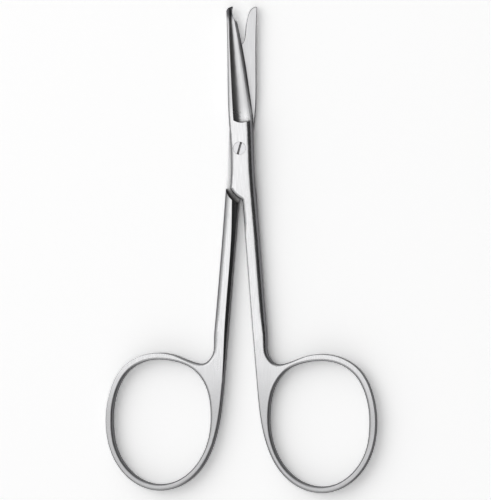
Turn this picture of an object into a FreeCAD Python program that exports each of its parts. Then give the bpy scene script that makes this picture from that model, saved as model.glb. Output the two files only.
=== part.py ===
import FreeCAD, Part
import math
import os

# Ring-handled suture scissors, lying flat. The origin is on the screw's axis at the underside of
# the joint, +Y points to the tips and +Z up. Each half is drawn closed and in one frame: x towards
# its own shank, y to the tips, z up from the faces on which the two halves slide.

V = FreeCAD.Vector

# How far open the scissors lie, as the angle between the halves
OPENING = 7.5

# Blades, measured from the screw's axis
BLADE_LENGTH = 26.3
EDGE_START = 6.2            # where the cutting edge leaves the joint
EDGE_OUT = 2.45             # how far the cutting edge stands out there
HOOK_LENGTH = 3.9           # from the hooked blade's tip back to the end of its edge
EDGE_END_OUT = 0.89
EDGE_BELLY = 0.24           # bulge of the cutting edge over its chord
BACK_MEASURED = 2.0         # how far before the tips the backs are measured
HOOKED_BACK_TIP = 1.15      # how far the back stands out there
HOOKED_BACK_HEEL = 1.78     # the same at the joint
PLAIN_BACK_TIP = 1.30
PLAIN_BACK_HEEL = 2.05
BLADE_THICKNESS = 1.55      # one blade at the joint
TIP_THICKNESS = 0.85        # one blade at its tip
TIP_SLOPE = 0.03            # how fast it still gets thinner there
MIDDLE_THINNED = 0.46       # share of the thinning that is done halfway along the blade
EDGE_BEVEL = 0.38           # width of the ground strip along the cutting edge
EDGE_LAND = 0.80            # height of that strip at the joint
EDGE_LAND_TIP = 0.45        # height of that strip at the tip

# Hollow ground into the outer face of each blade
HOLLOW_START = 4.65         # where the scooped end begins
HOLLOW_BACK_LAND = 1.05     # flat strip left along the blade's back, at the joint
HOLLOW_BACK_LAND_TIP = 0.62
HOLLOW_FLOOR = 0.85         # steel left under the hollow at the joint
HOLLOW_FLOOR_TIP = 0.42
HOLLOW_LOWEST = 0.6         # place of its lowest line, as a share from the back's strip to the edge
HOLLOW_SCOOP = 0.85         # how far its round end reaches back in the middle

# Hook that lifts the thread, and the blunt tip of the other blade, measured back from the tips
HOOK_MOUTH = 2.8            # where the crescent begins
HOOK_MOUTH_OUT = 0.57
HOOK_SHOULDER = 0.08        # bulge of the stretch between edge and crescent
HOOK_DEPTH = 0.65           # how deep the crescent goes in from its mouth
HOOK_DEEPEST = 0.55         # share of the crescent's length at which it is deepest
HOOK_POINT = 0.1            # where the crescent ends at the point
HOOK_POINT_OUT = 0.12       # how far the point stands out from the axis
HOOK_BACK = 1.7             # where the back begins to round over to the point
HOOK_CROWN = (0.43, 0.82)   # middle of that round, as shares across and along it
RELIEF = 7.3                # where the plain blade's edge steps back
RELIEF_STEP = 1.4           # length of that step
RELIEF_OUT = 0.79           # how far the edge stands out after it
RELIEF_MIDDLE = (0.72, 0.4)  # middle of the step, as shares across and along it
BLUNT_LENGTH = 3.7          # where the relieved edge begins to round over
BLUNT_OUT = 0.72            # how far the relieved edge stands out
BLUNT_CORNER = 0.3          # small round between the blunt tip and the back
BLUNT_BEVEL = 0.2           # border broken along the relieved edge, on the sliding face

# Joint
JOINT_THICKNESS = 3.2
SLIDING_GAP = 0.02
JOINT_EASE = 1.6            # how far past the joint's flat faces its thickness eases off
JOINT_WAIST = 1.72          # joint's back side at the screw
EAR_OUT = 2.30              # corner where the joint laps over the other shank
EAR_Y = -7.2
EAR_BULGE = 0.22
FOOT_Y = -9.5               # where the ear meets the shank's inner side
SHOULDER_GAP = 0.15         # from an ear to the other half's shoulder, scissors closed

# Shanks and finger rings
SHANK_WIDTH = 2.50
SHANK_THICKNESS = 2.55
SHANK_FULL_Y = -14.25       # where the joint has eased down to that thickness
SHANK_TAPER = 0.06          # how much thinner each side of it is at the ring's end
SHANK_OUT = 0.90            # shank's middle line beside the screw
SHANK_SPREAD = 0.0165       # how fast the middle line leaves the axis
NECK_LENGTH = 4.895         # from the ring's top to where the straight shank ends
FACET_WIDTH = 0.80          # slanted facet along the inner edge, on the sliding side
FACET_DEPTH = 0.80
FACET_FADE = 0.0107         # how fast it runs out towards the ring
RING_SET = 0.593            # how far the ring's near side stands off the shank's inner line
RING_Y = -51.62
RING_INSIDE_WIDTH = 18.65
RING_INSIDE_HEIGHT = 23.05
RING_WIRE = 1.18
RING_THICKNESS = 1.95
RING_TOP_THICKNESS = 0.3    # share of the shank's extra thickness left at the ring's top
RING_SQUARENESS = 2.5       # exponent of the ring's upper half, 2 would be an ellipse
WEB_RADIUS = 2.2            # hollow corner between shank and ring
WEB_ANGLE = 120             # place on the ring that the corner lies beside

# Angles at which the curves of the ring and of its hollow corner are pinned
RING_OUTSIDE = range(195, 456, 26)
RING_INSIDE = range(0, 360, 24)
WEB_PINS = (290, 245, 200)

# Roundings
BACK_ROUND = 0.6
INNER_ROUND = 0.25
TIP_ROUND = 0.22
CORNER_ROUND = 0.45
FOOT_ROUND = 0.4

# Screw
HEAD_DIAMETER = 2.3
HEAD_HEIGHT = 0.6
HEAD_CLEARANCE = 0.04
HEAD_RECESS = 0.02          # how far the head lies below the joint's face
SCREW_DIAMETER = 1.5
SCREW_CLEARANCE = 0.03
SLOT_WIDTH = 0.4
SLOT_DEPTH = 0.3
SLOT_LEAN = 16.0            # slot's angle from the scissors' axis

# Room beyond the part that cutting tools reach into, and how far the blank runs past the tips
MARGIN = 4.0
REACH = 1.0
SPARE = 1.7

# How edges are found on a blank: within this distance of a place, above this height, this upright
NEAR = 0.1
OFF_MIDDLE = 0.3
UPRIGHT = 0.9

HALF_JOINT = JOINT_THICKNESS / 2
HALF_SHANK = SHANK_THICKNESS / 2
HALF_RING = RING_THICKNESS / 2
SHANK_ROUND = 0.9 * HALF_SHANK
RING_ROUND = 0.36 * RING_WIRE
EDGE_END = BLADE_LENGTH - HOOK_LENGTH
BEYOND_TIP = BLADE_LENGTH + SPARE
RING_TOP = RING_Y + RING_INSIDE_HEIGHT / 2
SHANK_END_Y = RING_TOP + RING_WIRE + NECK_LENGTH
NEAR_SIDE = SHANK_OUT - SHANK_SPREAD * RING_Y - SHANK_WIDTH / 2 + RING_SET
RING_X = NEAR_SIDE + RING_WIRE + RING_INSIDE_WIDTH / 2


# Curves
def line(a, b):
    return Part.makeLine(a, b)


def arc(a, through, b):
    return Part.Arc(a, through, b).toShape()


def curve(points, breaks=(), start=None, end=None):
    """One smooth curve through the points, as edges that meet at the breaks."""
    spline = Part.BSplineCurve()
    if start is None:
        spline.interpolate(Points=points)
    else:
        spline.interpolate(Points=points, InitialTangent=start, FinalTangent=end)
    stops = [spline.FirstParameter] + [spline.parameter(p) for p in breaks] + [spline.LastParameter]
    return [spline.toShape(first, last) for first, last in zip(stops, stops[1:])]


def between(a, b, share):
    return a + (b - a) * share


def prism(edges, low, high):
    face = Part.Face(Part.Wire(edges))
    face.translate(V(0, 0, low))
    return face.extrude(V(0, 0, high - low))


# Places along a half
def edge_x(y):
    share = (y - EDGE_START) / (EDGE_END - EDGE_START)
    return between(EDGE_OUT, EDGE_END_OUT, share) + 4 * EDGE_BELLY * share * (1 - share)


def shank_x(y, side):
    return SHANK_OUT - SHANK_SPREAD * y + side * SHANK_WIDTH / 2


def shank_point(y, side):
    return V(shank_x(y, side), y, 0)


def ring_point(degrees, grow):
    power = 2 / RING_SQUARENESS if math.sin(math.radians(degrees)) > 0 else 1.0
    across = math.cos(math.radians(degrees))
    along = math.sin(math.radians(degrees))
    x = (RING_INSIDE_WIDTH / 2 + grow) * math.copysign(abs(across) ** power, across)
    y = (RING_INSIDE_HEIGHT / 2 + grow) * math.copysign(abs(along) ** power, along)
    return V(RING_X + x, RING_Y + y, 0)


def neck_point(degrees):
    """A point of the hollow corner between the shank and the top of the ring."""
    low = ring_point(WEB_ANGLE, RING_WIRE)
    centre = V(shank_x(low.y, 1) + WEB_RADIUS, low.y + WEB_RADIUS, 0)
    angle = math.radians(degrees)
    return centre + V(math.cos(angle), math.sin(angle), 0) * WEB_RADIUS


def back_x(y, tip_out, heel_out):
    share = (y - EDGE_START) / (BLADE_LENGTH - BACK_MEASURED - EDGE_START)
    return -between(heel_out, tip_out, share)


# One half's outline, without its tip, seen closed
def outline(tip_out, heel_out):
    down = V(SHANK_SPREAD, -1, 0)
    foot = shank_point(FOOT_Y, -1)
    inner_end = shank_point(SHANK_END_Y, -1)
    outer_end = shank_point(SHANK_END_Y, 1)
    joint_out = shank_point(EAR_Y, 1)
    ring_side = [shank_point(RING_Y + RING_INSIDE_HEIGHT / 3, -1)]
    ring_side += [ring_point(angle, RING_WIRE) for angle in RING_OUTSIDE]
    neck = [neck_point(angle) for angle in WEB_PINS]
    tip_edge = V(edge_x(BEYOND_TIP), BEYOND_TIP, 0)
    tip_back = V(back_x(BEYOND_TIP, tip_out, heel_out), BEYOND_TIP, 0)
    middle = (EDGE_START + EDGE_END) / 2
    ear = V(-EAR_OUT, EAR_Y, 0)
    ear_middle = (ear + foot) / 2 - V(EAR_BULGE, EAR_BULGE, 0)
    edge_start = V(edge_x(EDGE_START), EDGE_START, 0)
    cutting = [joint_out, edge_start, V(edge_x(middle), middle, 0), tip_edge]
    edge_end = V(edge_x(BEYOND_TIP) - edge_x(BEYOND_TIP - 1), 1, 0)
    back = [tip_back, V(back_x(middle, tip_out, heel_out), middle, 0),
            V(-heel_out, EDGE_START, 0), V(-JOINT_WAIST, 0, 0), ear]
    ring = [inner_end] + ring_side + neck + [outer_end]
    return (
        [line(foot, inner_end)]
        + curve(ring, [ring_side[1], ring_side[-1]], down, -down)
        + [line(outer_end, joint_out)]
        + curve(cutting, [edge_start], -down, edge_end)
        + [line(tip_edge, tip_back)]
        + curve(back, [back[2]])
        + [arc(ear, ear_middle, foot)]
    )


def ring_opening():
    points = [ring_point(angle, 0) for angle in RING_INSIDE]
    spline = Part.BSplineCurve()
    spline.interpolate(Points=points, PeriodicFlag=True)
    return spline.toShape()


# Thickness along a half, the same above and below: flat over the joint, thinner both ways from it
def side_profile():
    width = RING_X + RING_INSIDE_WIDTH + 2 * MARGIN
    flat_top = V(0, HOLLOW_START - JOINT_EASE, HALF_JOINT)
    flat_foot = V(0, EAR_Y + JOINT_EASE, HALF_JOINT)
    middle = (EDGE_START + BLADE_LENGTH) / 2
    blade = [
        V(0, BEYOND_TIP + REACH, TIP_THICKNESS),
        V(0, middle, between(BLADE_THICKNESS, TIP_THICKNESS, MIDDLE_THINNED)),
        V(0, EDGE_START, BLADE_THICKNESS),
        flat_top,
    ]
    shank = [
        flat_foot,
        V(0, SHANK_FULL_Y, HALF_SHANK),
        V(0, SHANK_END_Y, HALF_SHANK - SHANK_TAPER),
        V(0, RING_TOP, between(HALF_RING, HALF_SHANK, RING_TOP_THICKNESS)),
        V(0, RING_Y, HALF_RING),
        V(0, RING_Y - RING_INSIDE_HEIGHT / 2 - MARGIN, HALF_RING),
    ]
    level = V(0, -1, 0)
    last = shank[-1]
    first_floor = V(0, blade[0].y, -REACH)
    last_floor = V(0, last.y, -REACH)
    edges = curve(blade, (), V(0, -1, TIP_SLOPE), level) + [line(flat_top, flat_foot)]
    edges += curve(shank, (), level, level)
    edges += [line(last, last_floor), line(last_floor, first_floor), line(first_floor, blade[0])]
    face = Part.Face(Part.Wire(edges))
    face.translate(V(-EAR_OUT - MARGIN, 0, 0))
    return face.extrude(V(width, 0, 0))


# Edge rounding: large outside the shank, small inside it, even round the ring
def rounding(point):
    outer = point.x > shank_x(point.y, 0)
    if point.y > SHANK_END_Y:
        tip_share = max(0.0, point.y - EDGE_START) / (BEYOND_TIP - EDGE_START)
        if point.x < shank_x(point.y, -1) - OFF_MIDDLE:
            return between(BACK_ROUND, TIP_ROUND, tip_share)
        heel = SHANK_ROUND if outer else INNER_ROUND
        return between(heel, TIP_ROUND, tip_share)
    if outer:
        share = min(1.0, (SHANK_END_Y - point.y) / (SHANK_END_Y - RING_TOP))
        return between(SHANK_ROUND, RING_ROUND, share)
    share = min(1.0, (SHANK_END_Y - point.y) / (SHANK_END_Y - RING_Y))
    return between(INNER_ROUND, RING_ROUND, share)


def upright_edges(shape, place):
    return [
        edge for edge in shape.Edges
        if abs(edge.tangentAt(edge.FirstParameter).z) > UPRIGHT
        and math.hypot(edge.CenterOfMass.x - place.x, edge.CenterOfMass.y - place.y) < NEAR
    ]


def round_edges(shape, document, name):
    base = document.addObject("Part::Feature", name + "_blank")
    base.Shape = shape
    fillet = document.addObject("Part::Fillet", name + "_rounded")
    fillet.Base = base
    rows = []
    for number, edge in enumerate(shape.Edges, 1):
        middle = edge.CenterOfMass
        upright = abs(edge.tangentAt(edge.FirstParameter).z) > UPRIGHT
        if upright or edge.isClosed() or middle.z < OFF_MIDDLE or middle.y > BEYOND_TIP - NEAR:
            continue
        first = edge.valueAt(edge.FirstParameter)
        last = edge.valueAt(edge.LastParameter)
        rows.append((number, rounding(first), rounding(last)))
    fillet.Edges = rows
    document.recompute()
    rim = [
        edge for edge in fillet.Shape.Edges
        if edge.isClosed() and edge.CenterOfMass.z > OFF_MIDDLE and edge.Length > RING_INSIDE_WIDTH
    ]
    return fillet.Shape.makeFillet(RING_ROUND, rim)


def forging(document, name, tip_out, heel_out):
    """Upper half of the blank, with its edges rounded, and its mirror image below."""
    ear = V(-EAR_OUT, EAR_Y, 0)
    foot = shank_point(FOOT_Y, -1)
    blank = prism(outline(tip_out, heel_out), 0, MARGIN)
    blank = blank.cut(prism([ring_opening()], -REACH, MARGIN))
    blank = blank.common(side_profile()).Solids[0]
    blank = blank.makeFillet(CORNER_ROUND, upright_edges(blank, ear))
    blank = blank.makeFillet(FOOT_ROUND, upright_edges(blank, foot))
    return round_edges(blank, document, name)


# Where the other half lies: above its shoulder a half keeps only its own layer
def lap_room(low, high):
    shift = V(1, -1, 0) * (SHOULDER_GAP / math.sqrt(2))
    corner = V(EAR_OUT, EAR_Y, 0) + shift
    foot = V(-shank_x(FOOT_Y, -1), FOOT_Y - FOOT_ROUND, 0) + shift
    middle = (corner + foot) / 2 + V(EAR_BULGE, -EAR_BULGE, 0)
    left = V(-EAR_OUT - MARGIN, foot.y, 0)
    left_top = V(left.x, BEYOND_TIP + MARGIN, 0)
    right_top = V(EAR_OUT + MARGIN, BEYOND_TIP + MARGIN, 0)
    right = V(EAR_OUT + MARGIN, corner.y + EAR_BULGE, 0)
    edges = [arc(foot, middle, corner), line(corner, right), line(right, right_top),
             line(right_top, left_top), line(left_top, left), line(left, foot)]
    return prism(edges, low, high)


def nesting_facet():
    """The wedge cut off the lower inner edge of a shank, from its shoulder to the ring."""
    slope = FACET_DEPTH / FACET_WIDTH
    y = EAR_Y
    inner = shank_x(y, -1)
    low = -HALF_SHANK - MARGIN
    high = FACET_DEPTH - HALF_SHANK + slope * MARGIN
    reach = FACET_WIDTH + MARGIN / slope
    corners = [V(inner - MARGIN, y, high), V(inner - MARGIN, y, low), V(inner + reach, y, low)]
    face = Part.Face(Part.makePolygon(corners + corners[:1]))
    length = y - (RING_Y - MARGIN)
    wedge = face.extrude(V((SHANK_SPREAD - FACET_FADE) * length, -length, 0))
    return wedge.cut(lap_room(low - MARGIN, high + MARGIN))


# Ground faces of a blade
def hollow(tip_out, heel_out):
    """A round-bottomed channel that narrows to the tip and ends in a scoop at the joint."""
    rings = []
    for y, land, top, floor in (
        (HOLLOW_START, HOLLOW_BACK_LAND, BLADE_THICKNESS, HOLLOW_FLOOR),
        (BEYOND_TIP, HOLLOW_BACK_LAND_TIP, TIP_THICKNESS, HOLLOW_FLOOR_TIP),
    ):
        rim = back_x(y, tip_out, heel_out) + land
        bottom = between(rim, edge_x(y), HOLLOW_LOWEST)
        half_width = bottom - rim
        depth = top - floor
        radius = (half_width ** 2 + depth ** 2) / (2 * depth)
        rings.append(Part.Wire(Part.makeCircle(radius, V(bottom, y, floor + radius), V(0, 1, 0))))
    channel = Part.makeLoft(rings, True, True)
    left = V(HOLLOW_BACK_LAND - heel_out - HOLLOW_SCOOP / 2, HOLLOW_START + HOLLOW_SCOOP, 0)
    right = V(EDGE_OUT + HOLLOW_SCOOP / 2, left.y, 0)
    low = V((left.x + right.x) / 2, HOLLOW_START, 0)
    far_left = V(left.x - REACH, BEYOND_TIP + MARGIN, 0)
    far_right = V(right.x, far_left.y, 0)
    window = [arc(left, low, right), line(right, far_right), line(far_right, far_left),
              line(far_left, left)]
    return channel.common(prism(window, 0, MARGIN))


def edge_bevel():
    """What the grinding of the cutting edge takes off, from the joint to past the tip."""
    wires = []
    steps = 5
    for height in (0, 1):
        points = []
        for step in range(steps + 1):
            y = between(HOLLOW_START, BEYOND_TIP + REACH, step / steps)
            share = (y - EDGE_START) / (BLADE_LENGTH - EDGE_START)
            land = between(EDGE_LAND, EDGE_LAND_TIP, share)
            slant = EDGE_BEVEL / land * MARGIN
            fade = 0 if step else EDGE_BEVEL
            points.append(V(edge_x(y) + fade - height * slant, y, height * MARGIN))
        out = V(MARGIN, 0, 0)
        z = V(0, 0, height * MARGIN)
        far = V(EDGE_OUT, points[-1].y, 0) + out + z
        near = V(EDGE_OUT, points[0].y, 0) + out + z
        edges = curve(points) + [line(points[-1], far), line(far, near), line(near, points[0])]
        wires.append(Part.Wire(edges))
    return Part.makeLoft(wires, True, True)


def beyond(edges, height):
    """The outline of everything past a tip whose own outline the edges give."""
    first = edges[0].valueAt(edges[0].FirstParameter)
    last = edges[-1].valueAt(edges[-1].LastParameter)
    right = V(EDGE_OUT + MARGIN, first.y, 0)
    left = V(-EAR_OUT - MARGIN, last.y, 0)
    right_far = V(right.x, BEYOND_TIP + MARGIN, 0)
    left_far = V(left.x, BEYOND_TIP + MARGIN, 0)
    around = [line(last, left), line(left, left_far), line(left_far, right_far),
              line(right_far, right), line(right, first)]
    wire = Part.Wire(edges + around)
    wire.translate(V(0, 0, height))
    return wire


def hooked_tip():
    edge_end = V(edge_x(EDGE_END), EDGE_END, 0)
    mouth = V(HOOK_MOUTH_OUT, BLADE_LENGTH - HOOK_MOUTH, 0)
    shoulder = (edge_end + mouth) / 2 + V(HOOK_SHOULDER, HOOK_SHOULDER / 2, 0)
    point = V(HOOK_POINT_OUT, BLADE_LENGTH - HOOK_POINT, 0)
    deepest = V(HOOK_MOUTH_OUT - HOOK_DEPTH, between(mouth.y, point.y, HOOK_DEEPEST), 0)
    top = V(HOOK_POINT_OUT - HOOK_POINT, BLADE_LENGTH, 0)
    back_y = BLADE_LENGTH - HOOK_BACK
    back = V(back_x(back_y, HOOKED_BACK_TIP, HOOKED_BACK_HEEL), back_y, 0)
    across, along = HOOK_CROWN
    crown = V(between(back.x, top.x, across), between(back.y, top.y, along), 0)
    return [
        arc(edge_end, shoulder, mouth),
        arc(mouth, deepest, point),
        line(point, top),
        arc(top, crown, back),
    ]


def plain_tip(inset):
    step_y = BLADE_LENGTH - RELIEF
    blunt_y = BLADE_LENGTH - BLUNT_LENGTH
    step = V(edge_x(step_y), step_y, 0)
    relieved = V(RELIEF_OUT - inset, step_y + RELIEF_STEP, 0)
    across, along = RELIEF_MIDDLE
    halfway = V(between(step.x, relieved.x, across), between(step.y, relieved.y, along), 0)
    blunt = V(BLUNT_OUT - inset, blunt_y, 0)
    back_edge = back_x(BLADE_LENGTH, PLAIN_BACK_TIP, PLAIN_BACK_HEEL)
    back = V(back_edge, BLADE_LENGTH - BLUNT_CORNER - inset, 0)
    top = V(back_edge + BLUNT_CORNER, BLADE_LENGTH - inset, 0)
    turn = math.sqrt(0.5)
    corner = V(between(back.x, top.x, 1 - turn), between(back.y, top.y, turn), 0)
    reach = blunt.x - top.x
    rise = top.y - blunt.y
    rounded = [V(top.x + reach * math.cos(a), blunt.y + rise * math.sin(a), 0)
               for a in (math.radians(30), math.radians(60))]
    edges = curve([step, halfway, relieved, blunt] + rounded + [top])
    return edges + [arc(top, corner, back)]


def tip_cut(edges):
    return Part.Face(beyond(edges, -MARGIN)).extrude(V(0, 0, 2 * MARGIN))


def border_cut():
    """What breaks the border of the sliding face, from the relief round the blunt tip."""
    wires = [
        beyond(plain_tip((1 - layer) * BLUNT_BEVEL), SLIDING_GAP / 2 + layer * BLUNT_BEVEL)
        for layer in (-1, 2)
    ]
    return Part.makeLoft(wires, True, True)


# The two halves and the screw
def half_forging(document, name, tip_out, heel_out, tip_cuts):
    upper = forging(document, name, tip_out, heel_out)
    lower = upper.mirror(V(0, 0, 0), V(0, 0, 1))
    half = upper.fuse(lower).removeSplitter()
    own_side = SLIDING_GAP / 2
    cuts = [lap_room(-MARGIN, own_side), nesting_facet(), hollow(tip_out, heel_out), edge_bevel()]
    for tool in cuts + tip_cuts:
        half = half.cut(tool)
    return half.Solids[0]


def screw_hole(radius, low, high):
    return Part.makeCylinder(radius, high - low, V(0, 0, low))


def hooked_half(document):
    cuts = [tip_cut(hooked_tip())]
    half = half_forging(document, "hooked", HOOKED_BACK_TIP, HOOKED_BACK_HEEL, cuts)
    head_seat = HALF_JOINT - HEAD_HEIGHT
    half = half.cut(screw_hole(SCREW_DIAMETER / 2 + SCREW_CLEARANCE, -REACH, MARGIN))
    half = half.cut(screw_hole(HEAD_DIAMETER / 2 + HEAD_CLEARANCE, head_seat, MARGIN))
    half.rotate(V(0, 0, 0), V(0, 0, 1), OPENING / 2)
    half.translate(V(0, 0, HALF_JOINT))
    return half


def plain_half(document):
    cuts = [tip_cut(plain_tip(0)), border_cut()]
    half = half_forging(document, "plain", PLAIN_BACK_TIP, PLAIN_BACK_HEEL, cuts)
    half = half.cut(screw_hole(SCREW_DIAMETER / 2, -REACH, MARGIN))
    half.rotate(V(0, 0, 0), V(0, 1, 0), 180)
    half.rotate(V(0, 0, 0), V(0, 0, 1), -OPENING / 2)
    half.translate(V(0, 0, HALF_JOINT))
    return half


def pivot_screw():
    top = JOINT_THICKNESS - HEAD_RECESS
    under_head = JOINT_THICKNESS - HEAD_HEIGHT + HEAD_CLEARANCE
    screw = Part.makeCylinder(SCREW_DIAMETER / 2, under_head)
    head = Part.makeCylinder(HEAD_DIAMETER / 2, top - under_head, V(0, 0, under_head))
    slot = Part.makeBox(SLOT_WIDTH, 2 * HEAD_DIAMETER, HEAD_HEIGHT,
                        V(-SLOT_WIDTH / 2, -HEAD_DIAMETER, top - SLOT_DEPTH))
    slot.rotate(V(0, 0, 0), V(0, 0, 1), -SLOT_LEAN)
    return screw.fuse(head).removeSplitter().cut(slot)


def main():
    os.makedirs("parts", exist_ok=True)
    document = FreeCAD.newDocument("scissors")
    pieces = {
        "hooked_half": hooked_half(document),
        "plain_half": plain_half(document),
        "pivot_screw": pivot_screw(),
    }
    for name, shape in pieces.items():
        shape.exportStep("parts/" + name + ".step")
        print(name, shape.isValid(), round(shape.Volume, 2), "mm3", len(shape.Faces), "faces")


if __name__ == "__main__":
    main()
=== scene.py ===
import math

import bmesh
import bpy
from mathutils import Matrix, Vector

# Suture scissors lying flat on a pale table, seen from above and a little from the right. The
# frame's nodes are the shapes: this script gives them their steel, the light and the camera.

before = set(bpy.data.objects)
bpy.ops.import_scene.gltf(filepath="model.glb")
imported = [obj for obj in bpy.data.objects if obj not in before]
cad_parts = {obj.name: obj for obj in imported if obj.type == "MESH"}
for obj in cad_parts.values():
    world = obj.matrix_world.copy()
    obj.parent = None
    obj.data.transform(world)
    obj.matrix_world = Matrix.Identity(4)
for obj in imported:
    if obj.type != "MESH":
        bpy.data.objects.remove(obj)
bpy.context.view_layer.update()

MM = 0.001

# Camera, from the photograph: how far off the vertical it stands and what it looks at
CAMERA_DISTANCE = 700 * MM
CAMERA_YAW = math.radians(12)
CAMERA_ROLL = math.radians(0.12)
CAMERA_TARGET = Vector((0.85, -18.77, 1.6)) * MM
CAMERA_LENS = 272.8         # on the 36 mm sensor, for the longer side of the picture
CAMERA_SEES_FROM = 10 * MM
CAMERA_SEES_TO = 10

# Table
TABLE_SIZE = 1600 * MM
TABLE_DROP = 0.02 * MM
TABLE_COLOUR = "#F4F4F4"
TABLE_ROUGHNESS = 0.9
TABLE_LIFT = 1.44           # the card's colour to the camera and in reflections, so that it looks white

# Lamps, in metres. A brightness of 1 is white.
LAMP_TARGET = (0, -0.02, 0)
OVERHEAD_SIZE = (0.44, 1.2)
OVERHEAD_PLACE = (-0.18, 0.10, 0.58)
OVERHEAD_BRIGHTNESS = 0.93
LEFT_SIZE = (0.42, 1.2)
LEFT_PLACE = (-0.55, 0.05, 0.37)
LEFT_BRIGHTNESS = 0.25

# The room that the steel reflects
ROOM_COLOUR = "#FFFFFF"
WALL_LIGHT = 0.50
END_WALL_LIGHT = 0.85       # the walls beyond the tips and beyond the rings
END_WALL_STARTS = 0.45      # lengthwise part of the direction, 1 straight along the scissors
END_WALL_FULL = 0.85
FLAG_LIGHT = 0.06
FLAG_STARTS = 0.08          # rightward part of the direction, 1 straight to the right
FLAG_FULL = 0.50

# Where one finish goes over into the next along the scissors
RING_FINISH_Y = -50 * MM
SHANK_FINISH_Y = -37 * MM
JOINT_FINISH_Y = 4.0 * MM
BLADE_FINISH_Y = 9.0 * MM
# Where the painted shade on the hook's nose starts and where it is full
NOSE_STARTS_Y = 23.4 * MM
NOSE_FULL_Y = 24.8 * MM

# Colours of the steel
SHANK_COLOUR = "#D2D2D3"
BLADE_COLOUR = "#C3C3C4"
RING_COLOUR = "#BBBBBC"
STREAK_COLOUR = "#8C8C8E"
# Painted shade: the steep sides, the hook's nose and the narrow gaps are darkened in the colour
SIDE_SHADE_COLOUR = "#707072"
NOSE_SHADE_COLOUR = "#5C5C5E"
CREVICE_SHADE_COLOUR = "#3C3B3A"
SCREW_COLOUR = "#C4C4C6"
GLANCING_TINT = "#D0D0D0"   # steel seen at a low angle doesn't go fully white

# Roughness of the steel
SHANK_ROUGHNESS = 0.25
BLADE_ROUGHNESS = 0.30
RING_ROUGHNESS = 0.36
RUBBED_SPREAD = 0.07        # how much smoother or rougher a rubbed patch is
SCREW_SMOOTHEST = 0.20
SCREW_ROUGHEST = 0.34

# Patterns: across, along and down for one line, grain or patch. Real belt lines, blasted grain and
# turned rings are a few hundredths of a millimetre wide. They are drawn coarser, so that they show.
GRIND_LINE = (0.10 * MM, 3.0 * MM, 0.10 * MM)
BLAST_GRAIN = (0.14 * MM, 0.14 * MM, 0.14 * MM)
RUBBED_PATCH = (3.0 * MM, 7.0 * MM, 3.0 * MM)
SCREW_PATCH = (0.8 * MM, 0.8 * MM, 0.8 * MM)
TURNED_RING = 0.10 * MM
TURNED_WAVER = 0.4
RELIEF_DEPTH = 0.004 * MM
FORGING_RELIEF = 0.45
SCREW_RELIEF = 0.3
STREAK_STARTS = 0.3         # depth in the pattern, from 0 to 1, from which a line is streaked
STREAK_FULL = 0.7
STREAK_SHARE = 0.24

# Painted shade on the sides and in narrow gaps. A flat top's direction has an upward part of 1, and an
# upright side's of 0.
SIDE_STARTS = 0.985
SIDE_FULL = 0.60
BLADE_SIDE_SHADE_SHARE = 0.5      # the blades' sides get half as much painted shade
CREVICE_WALL = 0.02         # upward part from which painted shade starts on the wall of a gap
CREVICE_FLOOR = 0.25        # upward part from which the painted shade is full
CREVICE_REACH = 1.4 * MM    # how far away something can be and still shut a surface in
CREVICE_SHUT = 0.40         # open share of what is round the surface, where the painted shade is full
CREVICE_OPEN = 0.95         # and where there is none
CREVICE_SAMPLES = 12

# A colour mix has its sockets by number, because its other kinds of socket have the same names
COLOUR_A = 6
COLOUR_B = 7
COLOUR_RESULT = 2


def linear(hex_colour):
    """A colour written as sRGB hex, turned to the linear one that the shaders take."""
    channels = [int(hex_colour[i:i + 2], 16) / 255 for i in (1, 3, 5)]
    return tuple(c / 12.92 if c <= 0.04045 else ((c + 0.055) / 1.055) ** 2.4 for c in channels) + (1.0,)


def add_node(tree, kind, inputs=None, **settings):
    """Adds a node with its settings. Each input, by name or number, takes a value or a link."""
    node = tree.nodes.new(kind)
    for name, value in settings.items():
        setattr(node, name, value)
    for name, value in (inputs or {}).items():
        if isinstance(value, bpy.types.NodeSocket):
            tree.links.new(value, node.inputs[name])
        else:
            node.inputs[name].default_value = value
    return node


def new_material(name):
    material = bpy.data.materials.new(name)
    material.use_nodes = True
    tree = material.node_tree
    tree.nodes.clear()
    return material, tree


# Where the patterns and finishes lie
def scaled_coords(tree, sizes):
    """The piece's own coordinates, divided so that one step of a pattern is as long as given."""
    place = add_node(tree, "ShaderNodeTexCoord")
    steps = add_node(tree, "ShaderNodeMapping", {
        "Vector": place.outputs["Object"],
        "Scale": [1 / size for size in sizes],
    })
    return steps.outputs["Vector"]


def along_length(tree, start, end):
    """0 before a stretch of the scissors' length, 1 past it towards the tips, smooth between."""
    place = add_node(tree, "ShaderNodeTexCoord")
    parts = add_node(tree, "ShaderNodeSeparateXYZ", {"Vector": place.outputs["Object"]})
    ramp = add_node(tree, "ShaderNodeMapRange", {
        "Value": parts.outputs["Y"],
        "From Min": start,
        "From Max": end,
    }, interpolation_type="SMOOTHSTEP")
    return ramp.outputs["Result"]


def side_shade_mask(tree):
    """1 on the steep sides, where painted shade darkens the colour, and 0 on the flats."""
    place = add_node(tree, "ShaderNodeTexCoord")
    facing = add_node(tree, "ShaderNodeSeparateXYZ", {"Vector": place.outputs["Normal"]})
    flatness = add_node(tree, "ShaderNodeMath", {0: facing.outputs["Z"]}, operation="ABSOLUTE")
    side = add_node(tree, "ShaderNodeMapRange", {
        "Value": flatness.outputs[0],
        "From Min": SIDE_FULL,
        "From Max": SIDE_STARTS,
        "To Min": 1.0,
        "To Max": 0.0,
    }, interpolation_type="SMOOTHSTEP")
    return side.outputs["Result"]


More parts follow.
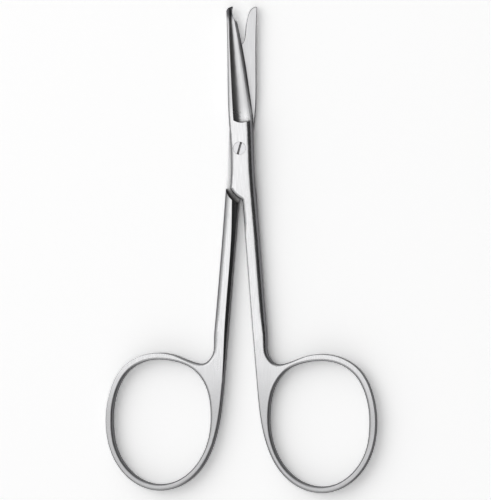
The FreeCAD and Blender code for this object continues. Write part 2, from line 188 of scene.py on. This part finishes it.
def gap_shade_mask(tree):
    """1 deep in the narrow gaps and corners that open upward, where painted shade darkens the colour.
    """
    place = add_node(tree, "ShaderNodeTexCoord")
    facing = add_node(tree, "ShaderNodeSeparateXYZ", {"Vector": place.outputs["Normal"]})
    upward = add_node(tree, "ShaderNodeMapRange", {
        "Value": facing.outputs["Z"],
        "From Min": CREVICE_WALL,
        "From Max": CREVICE_FLOOR,
    }, interpolation_type="SMOOTHSTEP")
    sky = add_node(tree, "ShaderNodeAmbientOcclusion", {
        "Distance": CREVICE_REACH,
    }, samples=CREVICE_SAMPLES)
    shut = add_node(tree, "ShaderNodeMapRange", {
        "Value": sky.outputs["AO"],
        "From Min": CREVICE_SHUT,
        "From Max": CREVICE_OPEN,
        "To Min": 1.0,
        "To Max": 0.0,
    }, interpolation_type="SMOOTHSTEP")
    gap = add_node(tree, "ShaderNodeMath", {
        0: shut.outputs["Result"],
        1: upward.outputs["Result"],
    }, operation="MULTIPLY")
    return gap.outputs[0]


def nose_shade_mask(tree):
    """1 on the nose of the hook, which is the tip on the left, where painted shade darkens the colour,
    and 0 on the rest.
    """
    place = add_node(tree, "ShaderNodeTexCoord")
    parts = add_node(tree, "ShaderNodeSeparateXYZ", {"Vector": place.outputs["Object"]})
    on_left = add_node(tree, "ShaderNodeMath", {0: parts.outputs["X"], 1: 0.0}, operation="LESS_THAN")
    nose = add_node(tree, "ShaderNodeMath", {
        0: on_left.outputs[0],
        1: along_length(tree, NOSE_STARTS_Y, NOSE_FULL_Y),
    }, operation="MULTIPLY")
    return nose.outputs[0]


# The steel of the two halves
def forging_relief(tree, above_rings):
    """The blasted grain of the rings, and the lengthwise belt lines of all that is above them."""
    grains = add_node(tree, "ShaderNodeTexNoise", {
        "Vector": scaled_coords(tree, BLAST_GRAIN),
        "Scale": 1.0,
        "Detail": 1.0,
    })
    lines = add_node(tree, "ShaderNodeTexNoise", {
        "Vector": scaled_coords(tree, GRIND_LINE),
        "Scale": 1.0,
        "Detail": 2.0,
    })
    relief = add_node(tree, "ShaderNodeMix", {
        "Factor": above_rings,
        "A": grains.outputs["Fac"],
        "B": lines.outputs["Fac"],
    })
    return relief.outputs["Result"]


def forging_colour(tree, above_rings, on_blades, relief):
    """The finishes of blades, shanks and rings, then the streaks of the relief, and painted shade on
    the sides, in the narrow gaps and on the nose of the hook."""
    # Painted shade on the steep sides, half as strong on the blades
    side = side_shade_mask(tree)
    blade_side_shade = add_node(tree, "ShaderNodeMath", {0: side, 1: BLADE_SIDE_SHADE_SHARE}, operation="MULTIPLY")
    painted_side_shade = add_node(tree, "ShaderNodeMix", {
        "Factor": on_blades,
        "A": side,
        "B": blade_side_shade.outputs[0],
    })
    streak = add_node(tree, "ShaderNodeMapRange", {
        "Value": relief,
        "From Min": STREAK_STARTS,
        "From Max": STREAK_FULL,
        "To Max": STREAK_SHARE,
    })
    blade_or_shank = add_node(tree, "ShaderNodeMix", {
        "Factor": on_blades,
        COLOUR_A: linear(SHANK_COLOUR),
        COLOUR_B: linear(BLADE_COLOUR),
    }, data_type="RGBA")
    finish = add_node(tree, "ShaderNodeMix", {
        "Factor": above_rings,
        COLOUR_A: linear(RING_COLOUR),
        COLOUR_B: blade_or_shank.outputs[COLOUR_RESULT],
    }, data_type="RGBA")
    colour = finish.outputs[COLOUR_RESULT]
    # The grinding streaks, then painted shade on the sides, in the narrow gaps and on the hook's nose
    for share, tone in (
        (streak.outputs["Result"], STREAK_COLOUR),
        (painted_side_shade.outputs["Result"], SIDE_SHADE_COLOUR),
        (gap_shade_mask(tree), CREVICE_SHADE_COLOUR),
        (nose_shade_mask(tree), NOSE_SHADE_COLOUR),
    ):
        layer = add_node(tree, "ShaderNodeMix", {
            "Factor": share,
            COLOUR_A: colour,
            COLOUR_B: linear(tone),
        }, data_type="RGBA")
        colour = layer.outputs[COLOUR_RESULT]
    return colour


def forging_roughness(tree, above_rings, on_blades):
    """Rougher on the blades and most of all on the rings, and uneven where fingers and cloths rub."""
    blade_or_shank = add_node(tree, "ShaderNodeMix", {
        "Factor": on_blades,
        "A": SHANK_ROUGHNESS,
        "B": BLADE_ROUGHNESS,
    })
    finish = add_node(tree, "ShaderNodeMix", {
        "Factor": above_rings,
        "A": RING_ROUGHNESS,
        "B": blade_or_shank.outputs["Result"],
    })
    patches = add_node(tree, "ShaderNodeTexNoise", {
        "Vector": scaled_coords(tree, RUBBED_PATCH),
        "Scale": 1.0,
        "Detail": 2.0,
    })
    rubbed = add_node(tree, "ShaderNodeMix", {
        "Factor": patches.outputs["Fac"],
        "A": -RUBBED_SPREAD,
        "B": RUBBED_SPREAD,
    })
    total = add_node(tree, "ShaderNodeMath", {
        0: finish.outputs["Result"],
        1: rubbed.outputs["Result"],
    }, operation="ADD")
    return total.outputs[0]


def satin_forging():
    """Forged martensitic stainless steel as on small surgical scissors. The joint and the shanks are
    polished to a satin, so their flats are bright; their sides are darkened with painted shade. The
    blades keep the fine lengthwise lines of the grinding belt and are a shade greyer. The finger
    rings are blasted matt and rubbed by use, so they look softer and greyer than the shanks. Painted
    shade also darkens the narrow gaps and the nose of the hook."""
    material, tree = new_material("satin_forged_stainless")
    above_rings = along_length(tree, RING_FINISH_Y, SHANK_FINISH_Y)
    on_blades = along_length(tree, JOINT_FINISH_Y, BLADE_FINISH_Y)
    relief = forging_relief(tree, above_rings)
    bump = add_node(tree, "ShaderNodeBump", {
        "Height": relief,
        "Strength": FORGING_RELIEF,
        "Distance": RELIEF_DEPTH,
    })
    steel = add_node(tree, "ShaderNodeBsdfPrincipled", {
        "Base Color": forging_colour(tree, above_rings, on_blades, relief),
        "Roughness": forging_roughness(tree, above_rings, on_blades),
        "Normal": bump.outputs["Normal"],
        "Metallic": 1.0,
        "Specular Tint": linear(GLANCING_TINT),
    })
    add_node(tree, "ShaderNodeOutputMaterial", {"Surface": steel.outputs["BSDF"]})
    return material


# The steel of the screw
def turned_stainless():
    """The screw: free-turning stainless steel, faced on the lathe, so the head keeps fine rings about
    its middle that catch the light as faint circles. At a scale of 1 the wave's rings are pi / 10
    apart, in metres."""
    material, tree = new_material("turned_stainless")
    place = add_node(tree, "ShaderNodeTexCoord")
    rings = add_node(tree, "ShaderNodeTexWave", {
        "Vector": place.outputs["Object"],
        "Scale": math.pi / (10 * TURNED_RING),
        "Distortion": TURNED_WAVER,
    }, wave_type="RINGS", rings_direction="Z", wave_profile="SIN")
    bump = add_node(tree, "ShaderNodeBump", {
        "Height": rings.outputs["Fac"],
        "Strength": SCREW_RELIEF,
        "Distance": RELIEF_DEPTH,
    })
    patches = add_node(tree, "ShaderNodeTexNoise", {
        "Vector": scaled_coords(tree, SCREW_PATCH),
        "Scale": 1.0,
    })
    rough = add_node(tree, "ShaderNodeMix", {
        "Factor": patches.outputs["Fac"],
        "A": SCREW_SMOOTHEST,
        "B": SCREW_ROUGHEST,
    })
    # Painted shade in the screw's slot and the narrow gaps round it
    colour = add_node(tree, "ShaderNodeMix", {
        "Factor": gap_shade_mask(tree),
        COLOUR_A: linear(SCREW_COLOUR),
        COLOUR_B: linear(CREVICE_SHADE_COLOUR),
    }, data_type="RGBA")
    steel = add_node(tree, "ShaderNodeBsdfPrincipled", {
        "Base Color": colour.outputs[COLOUR_RESULT],
        "Roughness": rough.outputs["Result"],
        "Normal": bump.outputs["Normal"],
        "Metallic": 1.0,
        "Specular Tint": linear(GLANCING_TINT),
    })
    add_node(tree, "ShaderNodeOutputMaterial", {"Surface": steel.outputs["BSDF"]})
    return material


def dress(node_name, material):
    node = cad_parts[node_name]
    node.data.materials.clear()
    node.data.materials.append(material)


forged_steel = satin_forging()
screw_steel = turned_stainless()
dress("hooked_half", forged_steel)
dress("plain_half", forged_steel)
dress("pivot_screw", screw_steel)


# Table
def white_card():
    """White card: matt, so it takes the soft shadow and no reflection. The camera and the steel's
    reflections see it brighter than it is lit, shadow and all. The light that it throws back on the
    scissors stays as it is."""
    material, tree = new_material("white_card")
    ray = add_node(tree, "ShaderNodeLightPath")
    seen = add_node(tree, "ShaderNodeMath", {
        0: ray.outputs["Is Camera Ray"],
        1: ray.outputs["Is Glossy Ray"],
    }, operation="MAXIMUM")
    shade = add_node(tree, "ShaderNodeMix", {
        "Factor": seen.outputs[0],
        COLOUR_A: linear(TABLE_COLOUR),
        COLOUR_B: (TABLE_LIFT, TABLE_LIFT, TABLE_LIFT, 1.0),
    }, data_type="RGBA")
    card = add_node(tree, "ShaderNodeBsdfDiffuse", {
        "Color": shade.outputs[COLOUR_RESULT],
        "Roughness": TABLE_ROUGHNESS,
    })
    add_node(tree, "ShaderNodeOutputMaterial", {"Surface": card.outputs["BSDF"]})
    return material


def add_table():
    form = bmesh.new()
    bmesh.ops.create_grid(form, x_segments=1, y_segments=1, size=TABLE_SIZE / 2)
    bmesh.ops.translate(form, verts=form.verts, vec=(0, 0, -TABLE_DROP))
    mesh = bpy.data.meshes.new("table")
    form.to_mesh(mesh)
    form.free()
    table = bpy.data.objects.new("table", mesh)
    mesh.materials.append(white_card())
    bpy.context.collection.objects.link(table)


# Lights
def add_softbox(name, size, place, brightness):
    """An oblong lamp of even brightness, turned to the scissors. Its power is its brightness times
    pi times its area."""
    lamp = bpy.data.lights.new(name, "AREA")
    lamp.shape = "RECTANGLE"
    lamp.size, lamp.size_y = size
    lamp.energy = brightness * math.pi * size[0] * size[1]
    holder = bpy.data.objects.new(name, lamp)
    holder.location = place
    holder.rotation_euler = (Vector(LAMP_TARGET) - Vector(place)).to_track_quat("-Z", "Y").to_euler()
    bpy.context.collection.objects.link(holder)


def add_room():
    """The room round the table: pale walls, and a dark flag on the right that keeps the right sides
    of the steel dark."""
    world = bpy.data.worlds.new("studio")
    bpy.context.scene.world = world
    world.use_nodes = True
    tree = world.node_tree
    tree.nodes.clear()
    place = add_node(tree, "ShaderNodeTexCoord")
    parts = add_node(tree, "ShaderNodeSeparateXYZ", {"Vector": place.outputs["Generated"]})
    endways = add_node(tree, "ShaderNodeMath", {0: parts.outputs["Y"]}, operation="ABSOLUTE")
    walls = add_node(tree, "ShaderNodeMapRange", {
        "Value": endways.outputs[0],
        "From Min": END_WALL_STARTS,
        "From Max": END_WALL_FULL,
        "To Min": WALL_LIGHT,
        "To Max": END_WALL_LIGHT,
    }, interpolation_type="SMOOTHSTEP")
    flag = add_node(tree, "ShaderNodeMapRange", {
        "Value": parts.outputs["X"],
        "From Min": FLAG_STARTS,
        "From Max": FLAG_FULL,
    }, interpolation_type="SMOOTHSTEP")
    light = add_node(tree, "ShaderNodeMix", {
        "Factor": flag.outputs["Result"],
        "A": walls.outputs["Result"],
        "B": FLAG_LIGHT,
    })
    room = add_node(tree, "ShaderNodeBackground", {
        "Color": linear(ROOM_COLOUR),
        "Strength": light.outputs["Result"],
    })
    add_node(tree, "ShaderNodeOutputWorld", {"Surface": room.outputs["Background"]})


# Camera
def add_camera():
    lens = bpy.data.cameras.new("camera")
    lens.lens = CAMERA_LENS
    lens.clip_start = CAMERA_SEES_FROM
    lens.clip_end = CAMERA_SEES_TO
    camera = bpy.data.objects.new("camera", lens)
    turned = Matrix.Rotation(CAMERA_YAW, 4, "Y") @ Matrix.Rotation(CAMERA_ROLL, 4, "Z")
    away = turned @ Matrix.Translation((0, 0, CAMERA_DISTANCE))
    camera.matrix_world = Matrix.Translation(CAMERA_TARGET) @ away
    bpy.context.collection.objects.link(camera)
    bpy.context.scene.camera = camera


add_table()
add_softbox("overhead", OVERHEAD_SIZE, OVERHEAD_PLACE, OVERHEAD_BRIGHTNESS)
add_softbox("left_panel", LEFT_SIZE, LEFT_PLACE, LEFT_BRIGHTNESS)
add_room()
add_camera()
bpy.context.scene.view_settings.view_transform = "Standard"
